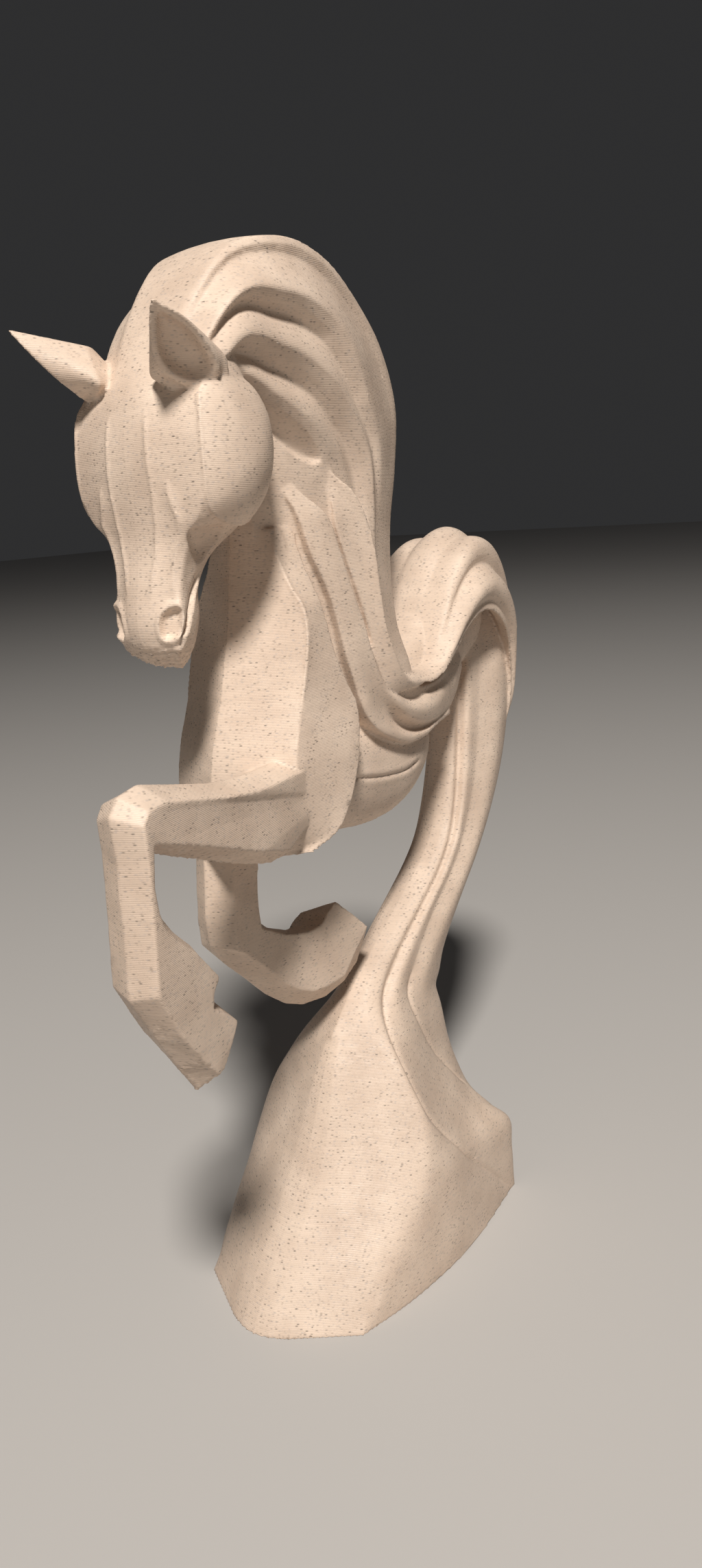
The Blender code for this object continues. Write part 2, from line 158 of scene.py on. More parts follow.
# Tail column, tilted rings: front y and z, rear y and z, half-width, and the angles of its grooves
COLUMN = [
    (4.0, 40.0, 30.2, 36.0, 6.3, 43, 74),
    (10.0, 44.2, 30.6, 38.0, 5.9, 39, 72),
    (16.5, 48.2, 31.6, 40.3, 5.8, 38, 67),
    (23.0, 52.0, 34.0, 43.6, 5.8, 38, 62),
    (29.0, 55.8, 38.4, 48.2, 5.8, 37, 62),
    (33.0, 59.6, 44.4, 53.8, 5.8, 35, 61),
    (35.4, 64.5, 50.2, 60.4, 5.9, 32, 60),
    (37.2, 70.5, 55.2, 67.8, 6.0, 28, 59),
    (38.6, 77.5, 58.6, 76.0, 6.0, 25, 58),
    (40.0, 84.5, 60.4, 84.0, 6.0, 22, 56),
    (41.5, 91.0, 60.0, 91.0, 5.6, 22, 56),
    (44.5, 97.0, 56.5, 98.0, 4.6, 22, 56),
]
GROOVE_DEPTH = 0.8


def pedestal_ring(z, ridge, corner, widest, g1x, g1y, lock1x, lock1y, g2x, g2y, lock2x, lock2y,
                  rear):
    """Level half ring of the pedestal, from its front ridge to its rear line."""
    corner_y = ridge + FRONT_SWEEP * corner
    span = g1y - corner_y
    return [(0.0, ridge, z), (corner, corner_y, z),
            ((1 - SIDE_SWELL) * corner + SIDE_SWELL * widest, corner_y + SIDE_PLACES[0] * span, z),
            (widest, corner_y + SIDE_PLACES[1] * span, z), (g1x, g1y, z), (lock1x, lock1y, z),
            (g2x, g2y, z), (lock2x, lock2y, z), (0.5 * lock2x, 0.5 * (lock2y + rear), z),
            (0.0, rear, z)]


def column_ring(fy, fz, ry, rz, half_width, groove_one, groove_two):
    """Tilted half ring of the tail, with as many points as a ring of the pedestal."""
    front, rear = np.array([fy, fz]), np.array([ry, rz])
    ridge = 0.5 * (groove_one + groove_two)
    half = []
    for angle, dip in ((0, 0), (0.5 * groove_one, 0), (0.75 * groove_one, 0),
                       (0.9 * groove_one, 0.1), (groove_one, 1), (ridge, 0), (groove_two, 1),
                       (95, 0), (140, 0), (180, 0)):
        size = 1 - dip * GROOVE_DEPTH / half_width
        along = 0.5 * math.cos(math.radians(angle)) * size
        y, z = 0.5 * (front + rear) + (front - rear) * along
        half.append((half_width * math.sin(math.radians(angle)) * size, y, z))
    return half


# Rounds of easing of the pedestal's front ridge and front corners at some heights
RIDGE_EASE = ((0.0, 3), (8.0, 4), (18.0, 3), (30.0, 1), (40.0, 1))
CORNER_EASE = ((0.0, 0), (5.0, 2), (13.0, 8), (26.0, 6), (36.0, 2))
EASED_BELOW = 36.0       # only the rings below this height are eased
EASE = 0.7               # share of the way to the middle of its neighbours in one round
CORNER_REACH = 6.0       # how far round the front corner the easing reaches


def eased(ring, height, corner):
    """Level ring of the pedestal with its front ridge and front corners rounded."""
    sideways = np.abs(ring[:, 0])
    ridge = np.clip(1.3 - sideways / (0.6 * corner), 0, 1) * (ring[:, 1] < ring[:, 1].mean())
    away = np.linalg.norm(ring[:, :2] - ring[RING_STEPS, :2], axis=1)
    edge = np.clip(1.2 - away / CORNER_REACH, 0, 1)
    edge = np.maximum(edge, edge[np.r_[0, len(edge) - 1:0:-1]])
    for share, table in ((ridge, RIDGE_EASE), (edge, CORNER_EASE)):
        rounds = between(height, table)
        for k in range(int(math.ceil(rounds))):
            beside = 0.5 * (np.roll(ring, 1, axis=0) + np.roll(ring, -1, axis=0))
            ring = ring + min(1.0, rounds - k) * share[:, None] * EASE * (beside - ring)
    return ring


TAIL_STEPS = 8               # rings from one row to the next
RING_STEPS = 6               # points from one place of a half ring to the next
TAIL_CORNERS = (0, 1, 4, 6, 9)     # sharp places: front ridge, front corner, grooves, rear line
TURN_ROWS = (4.6, 8.8)       # between these rows the level rings turn into tilted ones
TURN_ROUNDS = 40


def tail_halves():
    """Half rings of the pedestal and the column, evened out where level ones become tilted."""
    rows = [pedestal_ring(*row) for row in PEDESTAL] + [column_ring(*row) for row in COLUMN]
    halves = flow_rings(rows, TAIL_STEPS)
    first, last = (int(row * TAIL_STEPS) for row in TURN_ROWS)
    for _ in range(TURN_ROUNDS):
        beside = halves[first - 1:last - 1] + halves[first + 1:last + 1]
        halves[first:last] = 0.5 * halves[first:last] + 0.25 * beside
    return halves


def tail_and_pedestal():
    rings = []
    for half in tail_halves():
        ring = mirror_half(trace(half, TAIL_CORNERS, RING_STEPS))
        height = half[0][2]
        if height < EASED_BELOW and half[0][1] < 0:
            ring = eased(ring, height, half[1][0])
        rings.append(ring)
    return skin("tail_form", rings)


# Croup fan: top line y and z, near edge x, y and z, going from the waist over and down the tail
FAN = [
    (20.4, 91.0, 8.6, 13.6, 91.8),
    (21.6, 91.4, 9.4, 16.6, 90.0),
    (23.2, 92.4, 9.9, 19.6, 89.2),
    (25.4, 94.8, 10.0, 22.6, 89.8),
    (28.2, 98.6, 9.9, 26.6, 92.0),
    (31.8, 103.8, 9.5, 31.2, 95.0),
    (36.8, 108.4, 9.3, 35.8, 97.2),
    (42.4, 110.4, 9.1, 40.9, 97.6),
    (47.8, 109.0, 8.6, 45.8, 95.6),
    (52.2, 105.0, 7.8, 49.6, 92.4),
    (55.5, 99.4, 6.8, 52.2, 88.6),
    (57.5, 93.0, 6.2, 53.6, 84.0),
    (58.6, 86.0, 5.7, 54.0, 79.0),
    (58.4, 79.5, 4.6, 53.8, 75.0),
]
FAN_VALLEYS = (-19, 19, 53, 83)    # degrees round the arch from its top
FAN_RELIEF = 1.6
FAN_FADE = ((0.22, 0.0), (0.46, 1.0), (0.75, 1.0), (1.0, 0.0))    # relief along the fan
FAN_LOBE_POINTS = 10
FAN_TOP_LOBE = 0.45                # height of the lobe on the top, as a share of the others
FAN_CURL = 0.34                    # how far the edge curls under, as a share of the fan's height


def fan_ring(share, ty, tz, ex, ey, ez):
    """Half ring of the fan: lobes over the arch, its edge, and the curled underside."""
    top, edge = np.array([ty, tz]), np.array([ey, ez])
    outward = FAN_CURL * (top - edge)
    relief = FAN_RELIEF * between(share, FAN_FADE)
    half = []
    for low, high in zip(FAN_VALLEYS, FAN_VALLEYS[1:]):
        on_top = low < 0
        lean, height = (1.0, FAN_TOP_LOBE) if on_top else (1.7, 1.0)
        for k in range(FAN_LOBE_POINTS // 2 if on_top else 0, FAN_LOBE_POINTS):
            part = k / FAN_LOBE_POINTS
            rise = abs(math.sin(math.pi * part ** lean)) ** 0.75
            half.append((low + (high - low) * part, rise * relief * height))
    half += [(FAN_VALLEYS[-1], 0.0), (86, 0.1 * relief), (90, 0.15 * relief)]
    ring = []
    for angle, lift in half:
        a = math.radians(angle)
        grow = 1 + lift / ex
        y, z = edge + (top - edge) * math.cos(a) * grow
        ring.append((ex * math.sin(a) * grow, y, z))
    # The underside curls up and inward, furthest in the middle
    for k in range(1, 6):
        t = k / 5
        y, z = edge + outward * t
        ring.append((ex * (0.93 - 0.45 * t ** 0.8), y, z))
    ring.append((0.3 * ex, *(edge + 1.2 * outward)))
    ring.append((0.0, *(edge + 1.3 * outward)))
    return ring


def croup_fan():
    rows = flow(FAN, 8)
    last = len(rows) - 1
    return skin("fan_form", [mirror_half(fan_ring(i / last, *row)) for i, row in enumerate(rows)])


# Neck and waist: inner y and z, outer ridge y and z, the ridge's x, how far the middle stands
# out beyond it, and the widest x
NECK = [
    (-24.0, 126.5, -28.4, 128.2, 2.8, 0.0, 6.0),
    (-23.0, 128.0, -26.6, 132.6, 3.4, 0.2, 8.0),
    (-20.5, 127.5, -22.3, 139.7, 4.3, 0.3, 8.8),
    (-18.0, 126.5, -15.4, 146.3, 5.6, 0.5, 8.8),
    (-15.0, 123.5, -6.0, 148.6, 6.6, 0.6, 8.8),
    (-14.0, 120.5, 3.1, 147.5, 6.2, 0.6, 9.0),
    (-13.5, 117.5, 11.4, 144.0, 5.0, 0.6, 9.1),
    (-13.2, 114.5, 17.6, 137.9, 5.0, 0.6, 8.7),
    (-13.0, 111.5, 21.0, 129.8, 5.0, 0.6, 8.3),
    (-12.8, 108.5, 20.0, 121.1, 5.0, 0.6, 8.2),
    (-12.0, 104.8, 17.5, 112.7, 5.2, 0.7, 8.3),
    (-10.0, 100.2, 16.1, 105.1, 5.8, 1.0, 8.5),
    (-6.5, 94.6, 15.4, 98.6, 6.8, 2.2, 8.9),
    (-1.0, 88.2, 15.6, 93.2, 8.4, 3.4, 9.6),
    (6.0, 82.6, 16.8, 89.4, 8.6, 3.6, 8.9),
    (15.0, 79.0, 20.6, 88.5, 8.4, 2.4, 8.2),
    (25.0, 78.4, 25.4, 89.0, 8.0, 1.6, 7.7),
    (34.0, 81.0, 29.6, 90.4, 6.8, 1.4, 7.2),
    (39.5, 86.0, 34.0, 93.0, 5.4, 1.2, 6.0),
]
# The mane's upper locks, each a list of row, how far out its edge runs (0 inner, 1 outer ridge)
# and the height of the step there, from the throat to the crest
LOCKS = [
    ((2.0, .38, 0.0), (3.1, .27, 1.2), (4.2, .27, 1.4), (5.6, .32, 1.2), (6.6, .36, 0.6),
     (7.4, .40, 0.0), (18.0, .52, 0.0)),
    ((1.0, .50, 0.0), (2.0, .49, 1.1), (3.0, .48, 1.3), (4.0, .47, 1.3), (5.0, .50, 1.2),
     (6.6, .54, 1.0), (8.0, .60, 0.7), (10.0, .68, 0.3), (11.5, .72, 0.0), (18.0, .72, 0.0)),
    ((1.0, .76, 0.0), (2.3, .78, 1.3), (3.7, .71, 1.5), (4.5, .72, 1.4), (5.4, .72, 1.2),
     (6.2, .69, 1.0), (7.1, .67, 0.7), (8.4, .72, 0.3), (9.4, .76, 0.0), (18.0, .88, 0.0)),
]
# How the neck widens from its inner edge outward, as a share of the way to the widest
NECK_SWELL = ((0.0, 0.3), (0.13, 0.6), (0.2, 0.74), (0.38, 0.9), (0.62, 1.0))
LOCK_RELIEF = 1.6
EDGE_WIDTH = 0.08        # share of the section over which a lock's edge rises
# Shares of the way from one lock's edge to the next one's foot, and the height there
LOCK_PROFILE = ((0.0, 0.5), (0.1, 0.5), (0.28, 0.36), (0.5, 0.08), (0.7, -0.22), (0.86, -0.44))
CREST_STEP = ((1.0, 0.0), (2.6, 0.8), (6.0, 0.6), (9.0, 0.0))    # step at the outer ridge by row
CREST_PLACES = (0.85, 0.65, 0.4)    # places between the outer ridge and the middle of the crest
NECK_STEPS = 8


def neck_width(out, ridge_x, widest):
    full = NECK_SWELL[-1][0]
    if out <= full:
        return widest * between(out, NECK_SWELL)
    return widest + (ridge_x - widest) * ((out - full) / (1 - full)) ** 1.5


def neck_ring(row, iy, iz, oy, oz, ridge_x, bulge, widest):
    """Half ring of the neck, from its inner edge over the locks' steps to the crest."""
    inner, outer = np.array([iy, iz]), np.array([oy, oz])
    edges, steps = [0.0], [0.0]
    for lock in LOCKS:
        rows, shares, heights = zip(*lock)
        edges.append(float(np.interp(row, rows, shares)))
        steps.append(LOCK_RELIEF * float(np.interp(row, rows, heights)))
    edges.append(1.0)
    steps.append(LOCK_RELIEF * between(row, CREST_STEP))
    half = []
    for k, (low, high) in enumerate(zip(edges, edges[1:])):
        foot = high - min(EDGE_WIDTH, 0.4 * (high - low))
        for share, lift in LOCK_PROFILE:
            out = low + (foot - low) * share
            height = steps[k] * max(lift, 0) + steps[k + 1] * min(lift, 0)
            half.append((out, height))
        half.append((foot, -0.5 * steps[k + 1]))
        half.append((0.5 * (foot + high), 0.1 * steps[k + 1]))
    ring = []
    for out, lift in half:
        x = neck_width(out, ridge_x, widest) * (0.3 if out == 0 else 1)
        y, z = inner + (outer - inner) * out
        ring.append((max(x + lift, 0.4) if out > 0 else 0.0, y, z))
    outward = (outer - inner) / np.linalg.norm(outer - inner)
    ring.append((ridge_x, oy, oz))
    for share in CREST_PLACES:
        ring.append((ridge_x * share, *(outer + outward * bulge * (1 - share ** 2))))
    ring.append((0.0, *(outer + outward * bulge)))
    return ring


def neck_and_waist():
    rows = flow(NECK, NECK_STEPS)
    return skin("neck_form", [mirror_half(neck_ring(k / NECK_STEPS, *row))
                              for k, row in enumerate(rows)])


# The first band, from behind the cheek down and under the waist, and the lens over it: across each
# row the band's foot, its face, the scoop, the crisp edge, and the lens and its upper side
WAIST = [
    [(3.4, -10.4, 124.0), (3.8, -9.9, 124.0), (4.1, -9.4, 124.0), (4.3, -9.0, 123.9),
     (3.8, -8.6, 123.7), (3.2, -8.3, 123.5)],
    [(5.5, -8.9, 118.9), (5.9, -8.2, 118.9), (6.3, -7.5, 118.9), (6.6, -6.9, 118.8),
     (6.0, -6.3, 118.6), (5.2, -6.0, 118.4)],
    [(6.8, -7.4, 115.5), (7.5, -6.0, 115.5), (8.1, -4.5, 115.4), (8.5, -3.2, 115.2),
     (7.7, -2.6, 115.0), (6.8, -2.4, 114.8)],
    [(7.5, -6.0, 110.6), (8.2, -4.4, 110.7), (8.7, -2.8, 110.7), (9.0, -1.4, 110.6),
     (8.2, -0.8, 110.4), (7.2, -0.6, 110.2)],
    [(8.2, -3.7, 105.4), (8.8, -2.4, 105.5), (9.2, -1.1, 105.5), (9.5, 0.1, 105.5),
     (8.7, 0.7, 105.3), (7.7, 0.9, 105.1)],
    [(8.5, -2.3, 100.7), (9.1, -0.8, 100.8), (9.5, 0.7, 100.7), (9.8, 2.1, 100.5),
     (9.0, 2.8, 100.3), (8.0, 3.0, 100.1)],
    [(8.7, -1.4, 96.8), (9.3, 0.1, 96.9), (9.6, 1.7, 96.9), (9.9, 3.3, 96.8),
     (9.2, 4.2, 96.7), (8.6, 4.8, 96.6)],
    [(8.8, 0.4, 92.1), (9.2, 1.8, 92.4), (9.4, 3.9, 92.4), (9.9, 5.2, 92.6),
     (9.4, 6.2, 92.5), (9.0, 7.0, 92.5)],
    [(9.1, 1.7, 88.2), (9.4, 2.7, 89.0), (9.1, 5.3, 89.7), (9.9, 6.8, 90.3),
     (9.7, 7.6, 90.2), (9.0, 9.1, 90.0)],
    [(9.3, 4.2, 85.2), (9.4, 5.4, 86.0), (8.6, 8.2, 86.9), (10.0, 8.8, 88.1),
     (10.2, 9.3, 88.6), (8.8, 11.8, 88.6)],
    [(9.4, 8.4, 82.7), (9.5, 8.9, 83.7), (8.1, 11.6, 84.6), (10.0, 11.0, 86.2),
     (10.3, 11.7, 87.0), (8.7, 14.8, 87.4)],
    [(9.3, 13.3, 81.1), (9.4, 13.5, 82.1), (8.0, 15.8, 82.7), (9.8, 14.7, 84.4),
     (10.2, 15.3, 85.9), (8.6, 18.3, 87.1)],
    [(8.9, 18.4, 80.9), (9.0, 18.3, 81.7), (8.0, 19.9, 82.2), (9.4, 18.9, 83.4),
     (9.8, 19.1, 85.5), (8.4, 22.0, 87.6)],
    [(8.3, 23.2, 81.7), (8.4, 23.1, 82.3), (7.8, 24.2, 82.5), (8.7, 23.7, 83.4),
     (9.0, 24.1, 86.0), (7.8, 26.2, 88.2)],
    [(7.2, 29.4, 82.2), (7.3, 29.3, 82.7), (7.0, 29.8, 83.1), (7.4, 29.2, 84.0),
     (7.6, 29.0, 86.3), (7.0, 30.3, 88.5)],
]
# The second band, behind the first: lower edge, face, crisp ridge and the drop behind it
SECOND_BAND = [
    [(4.4, -4.4, 127.2), (4.9, -4.0, 127.2), (5.4, -3.6, 127.1),
     (5.0, -3.3, 126.9), (4.3, -3.1, 126.7)],
    [(6.4, -2.2, 121.3), (7.0, -1.6, 121.3), (7.6, -1.0, 121.2),
     (7.1, -0.6, 121.0), (6.2, -0.4, 120.8)],
    [(7.6, -0.9, 117.6), (8.3, 0.6, 117.8), (9.5, 2.2, 117.7),
     (8.8, 2.8, 117.5), (7.9, 3.0, 117.3)],
    [(8.1, -0.6, 113.2), (8.8, 2.0, 113.4), (10.0, 4.6, 113.1),
     (9.3, 5.2, 112.9), (8.3, 5.4, 112.7)],
    [(8.5, 1.2, 108.0), (9.2, 3.4, 108.1), (10.4, 5.5, 107.9),
     (9.7, 6.1, 107.7), (8.7, 6.3, 107.5)],
    [(8.9, 2.9, 103.2), (9.7, 4.4, 103.1), (10.6, 5.8, 102.8),
     (9.9, 6.5, 102.6), (8.9, 6.7, 102.4)],
    [(9.2, 4.6, 97.8), (9.8, 5.7, 97.9), (10.8, 6.8, 97.9),
     (10.1, 7.5, 97.9), (9.1, 7.8, 97.9)],
    [(9.4, 5.7, 93.5), (10.1, 7.0, 93.8), (10.9, 8.6, 94.2),
     (10.2, 9.2, 94.6), (9.2, 9.4, 94.8)],
    [(9.6, 6.8, 90.6), (10.2, 8.4, 91.1), (10.8, 10.3, 91.8),
     (10.1, 10.8, 92.4), (9.1, 11.0, 92.8)],
    [(9.7, 9.6, 89.4), (10.1, 11.0, 89.8), (10.5, 12.7, 90.4),
     (9.8, 13.0, 91.1), (8.8, 13.1, 91.6)],
    [(9.9, 13.8, 89.2), (10.0, 14.8, 89.5), (9.9, 15.8, 89.9),
     (9.4, 16.0, 90.5), (8.5, 16.1, 91.0)],
    [(9.2, 17.6, 89.1), (9.3, 18.0, 89.3), (9.2, 18.4, 89.6),
     (8.8, 18.5, 90.0), (8.0, 18.6, 90.4)],
]


# Each band's name, rows, x of its root in the neck, the root's y and z from the foot, a point under
# the foot, and the sharp places of its section
BANDS = (("waist_form", WAIST, 2.0, (0.6, -0.4), (-1.9, 0.4, -0.3), (0, 2, 5, 7, 8)),
         ("band_form", SECOND_BAND, 4.0, (0.6, 0.2), (-1.8, 0.3, 0.0), (0, 2, 4, 6, 7)))


def band(side, name, rows, root_x, root_shift, under_foot, corners):
    """Ribbon of hair on one side of the neck, closed by its root inside the neck."""
    rings = []
    for row in flow_rings(rows, 6):
        foot, last = row[0], row[-1]
        section = np.vstack([(root_x, foot[1] + root_shift[0], foot[2] + root_shift[1]),
                             foot + under_foot, row, (root_x, last[1], last[2])])
        rings.append(trace(section, corners, 5) * (side, 1, 1))
    return skin(name, rings)


# Chest and shoulders, level rings: height, keel y, shoulder corner x, rear edge x and y
CHEST = [
    (72.2, -21.0, 6.4, 10.4, -14.0),
    (74.2, -21.6, 9.0, 11.5, -9.4),
    (77.6, -21.6, 10.0, 11.8, -6.6),
    (81.6, -21.4, 10.3, 11.8, -4.6),
    (86.0, -20.5, 10.1, 11.7, -3.4),
    (90.0, -19.0, 9.9, 11.2, -2.8),
    (93.0, -17.8, 9.9, 10.7, -4.0),
    (97.0, -16.6, 9.9, 10.2, -5.6),
    (101.0, -15.4, 9.7, 9.6, -6.2),
    (104.0, -14.8, 8.9, 8.9, -6.4),
    (106.6, -14.3, 7.4, 7.9, -6.6),
    (109.2, -13.8, 6.1, 6.9, -6.9),
    (114.0, -13.0, 4.6, 5.6, -7.2),
]
CHEST_SWEEP = 0.48       # the chest's facets sweep back by this much a millimetre of width


def chest_ring(z, keel, corner, rear_x, rear_y):
    corner_y = keel + CHEST_SWEEP * corner
    return [(0.0, keel, z), (0.5 * corner, 0.5 * (keel + corner_y), z), (corner, corner_y, z),
            (rear_x, rear_y, z), (rear_x - 3.8, rear_y + 0.6, z), (0.0, rear_y + 2.0, z)]


def chest():
    halves = flow_rings([chest_ring(*row) for row in CHEST], 6)
    return skin("chest_form", [mirror_half(trace(half, (0, 1, 2, 3, 4, 5), 4))
                               for half in halves])


# Belly and haunch, upright rings: y, top z, bottom z, half-width
BELLY = [
    (-14.0, 88.0, 75.5, 6.0),
    (-6.0, 89.0, 71.5, 7.4),
    (2.0, 89.0, 69.6, 8.0),
    (9.0, 88.0, 68.6, 8.2),
    (15.0, 86.5, 68.8, 8.0),
    (20.5, 85.5, 70.6, 7.2),
    (25.0, 84.0, 74.0, 5.6),
    (28.0, 82.5, 78.4, 3.0),
]
HAUNCH = [
    (12.0, 92.0, 84.0, 6.6),
    (18.0, 93.0, 83.0, 7.0),
    (24.0, 96.0, 82.0, 7.0),
    (30.0, 100.0, 82.0, 6.6),
    (35.0, 103.0, 84.0, 6.0),
    (40.0, 105.0, 87.0, 5.6),
    (46.0, 105.0, 90.0, 5.0),
]


BARREL_POINTS = 24
BARREL_SQUARENESS = 0.8       # below 1 the sides are fuller than an ellipse's


def belly_ring(y, top, bottom, half_width):
    middle, rise = 0.5 * (top + bottom), 0.5 * (top - bottom)
    half = []
    for k in range(BARREL_POINTS + 1):
        a = math.pi * k / BARREL_POINTS
        half.append((half_width * abs(math.sin(a)) ** BARREL_SQUARENESS, y,
                     middle - rise * math.cos(a)))
    half[0], half[-1] = (0.0, y, bottom), (0.0, y, top)
    return half


def barrel(name, rows):
    return skin(name, [mirror_half(belly_ring(*row)) for row in flow(rows, 6)])


# Head, level rings: height, face y, cheek crease x and y, widest x and y, rear y
HEAD = [
    (98.6, -26.8, 1.4, -26.4, 1.6, -25.8, -25.2),
    (99.8, -29.0, 2.8, -28.4, 3.2, -26.8, -24.8),
    (101.6, -30.7, 4.0, -29.7, 4.6, -28.0, -23.8),
    (104.6, -31.2, 4.9, -29.8, 5.3, -28.2, -22.9),
    (108.0, -30.6, 4.4, -29.2, 4.8, -27.0, -22.4),
    (111.5, -29.9, 4.8, -28.7, 5.2, -26.0, -19.4),
    (114.2, -29.7, 6.4, -28.3, 6.8, -24.6, -15.0),
    (116.0, -29.8, 8.4, -28.3, 9.0, -23.6, -13.4),
    (118.6, -30.0, 9.7, -28.3, 10.6, -23.0, -12.8),
    (122.0, -30.2, 10.1, -28.3, 11.2, -22.8, -12.5),
    (125.6, -29.9, 10.0, -28.1, 11.2, -22.6, -12.5),
    (128.8, -29.1, 9.4, -27.3, 10.6, -22.2, -13.0),
    (131.4, -27.8, 8.4, -26.0, 9.6, -21.4, -14.0),
    (134.0, -26.1, 7.4, -24.4, 8.4, -20.4, -15.0),
    (137.0, -24.0, 6.2, -22.6, 7.2, -19.0, -14.0),
    (140.0, -21.6, 5.2, -20.4, 6.0, -17.0, -13.0),
]
# Half-width of the flat band down the face at some heights
FACE_BAND = ((98.0, 1.4), (106.0, 1.8), (110.0, 2.2), (112.0, 2.6), (116.0, 3.1), (120.0, 3.3),
             (126.0, 2.95), (129.0, 2.85), (133.0, 3.4), (137.0, 4.1), (140.0, 4.4))
# Rim of the round cheek, from the forehead down the front and back up behind, and its summit
CHEEK_RIM = [
    (9.5, -27.2, 129.6), (9.9, -28.0, 127.0), (10.1, -28.3, 123.5), (10.1, -28.3, 120.5),
    (9.9, -27.9, 118.0), (9.7, -27.0, 116.4), (9.5, -24.8, 115.3), (9.1, -22.4, 114.8),
    (8.7, -20.2, 115.0), (8.3, -18.0, 115.9), (8.0, -15.8, 117.8), (8.0, -14.4, 120.8),
    (8.2, -14.0, 124.6), (8.4, -14.8, 128.4), (8.6, -17.4, 131.0), (9.0, -21.4, 131.8),
    (9.3, -25.0, 131.4)]
CHEEK_SUMMIT = (12.7, -21.6, 122.6)


def head_ring(z, face, crease_x, crease_y, wide_x, wide_y, rear):
    """Level half ring of the head, from the middle of the face to the middle behind."""
    flat = min(between(z, FACE_BAND), 0.75 * crease_x)
    return [(0.0, face, z), (flat, face + 0.25, z), (crease_x, crease_y, z),
            (0.5 * (crease_x + wide_x) + 0.5, 0.5 * (crease_y + wide_y) - 0.6, z),
            (wide_x, wide_y, z), (0.88 * wide_x, wide_y + 0.45 * (rear - wide_y), z),
            (0.58 * wide_x, wide_y + 0.82 * (rear - wide_y), z), (0.0, rear, z)]


def head():
    halves = flow_rings([head_ring(*row) for row in HEAD], 8)
    return skin("head_form", [mirror_half(trace(half, (0, 1, 2, 7), 6)) for half in halves])


def cheek(side):
    rim, summit = round_trip(CHEEK_RIM, 4), np.array(CHEEK_SUMMIT)
    inward = rim * (0.55, 1, 1)
    rings = [inward + (summit - inward) * (0, 0.15, 0.15), rim - (0.12, 0, 0)]
    for share in (0.05, 0.12, 0.2, 0.3, 0.42, 0.55, 0.7, 0.85, 0.96):
        ring = rim + (summit - rim) * share
        ring[:, 0] = rim[:, 0] + (summit[0] - rim[:, 0]) * (1 - (1 - share) ** 2) ** 0.85
        rings.append(ring)
    return skin("cheek_form", [ring * (side, 1, 1) for ring in rings])


# Ear, left side: the rim of its open mouth from the tip down the inner side, along the bottom and
# back over the top, and the points of its root below them
EAR_MOUTH = [
    (11.2, -35.3, 137.9), (9.6, -34.2, 135.5), (8.4, -32.9, 133.5), (7.8, -31.5, 132.1),
    (7.6, -30.0, 131.1), (7.9, -28.0, 130.2), (8.5, -26.1, 129.8), (9.4, -25.1, 130.2),
    (10.6, -24.8, 131.3), (11.2, -25.8, 132.7), (11.7, -27.8, 134.2), (11.9, -30.0, 135.8),
    (11.9, -32.1, 136.8), (11.6, -34.1, 137.5)]
EAR_ROOT = [
    (6.2, -28.0, 135.7), (4.9, -28.6, 133.7), (4.1, -28.9, 132.4), (4.0, -28.8, 131.3),
    (5.4, -28.2, 130.4), (7.0, -27.2, 129.8), (8.4, -25.6, 129.4), (9.3, -24.2, 129.8),
    (9.8, -22.8, 130.8), (9.9, -22.2, 132.2), (9.6, -22.4, 133.5), (8.9, -23.4, 134.7),
    (8.0, -24.8, 135.6), (7.1, -26.6, 136.1)]
EAR_HEART = (5.5, -22.5, 131.5)            # a point deep in the head, where the ear's body ends
EAR_MIDDLE = (9.4, -28.6, 132.4)           # towards it the mouth's hollow runs
EAR_FACING = (0.69, -0.35, -0.63)          # the way the mouth opens
# Hollow of the mouth: share of the rim's width and depth
EAR_HOLLOW = ((0.2, 1.9), (0.45, 1.7), (0.60, 1.3), (0.70, 0.7), (0.77, 0.2), (0.84, 0.0))


def ear(side):
    mouth, root = round_trip(EAR_MOUTH, 3), round_trip(EAR_ROOT, 3)
    mouth[0] = EAR_MOUTH[0]
    facing, heart = np.array(EAR_FACING), np.array(EAR_HEART)
    centre = mouth.mean(axis=0) * 0.5 + np.array(EAR_MIDDLE) * 0.5
    rings = [centre + (mouth - centre) * share - facing * depth for share, depth in EAR_HOLLOW]
    rings.append(mouth)
    room = np.linalg.norm(mouth - mouth[0], axis=1)[:, None]
    for share in (0.12, 0.3, 0.5, 0.75, 1.0):
        ring = mouth + (root - mouth) * share
        rings.append(ring - facing * 0.5 * math.sin(math.pi * share) * np.minimum(room / 4, 1))
    rings.append(root + (heart - root) * 0.5)
    return skin("ear_form", [ring * (side, 1, 1) for ring in rings])


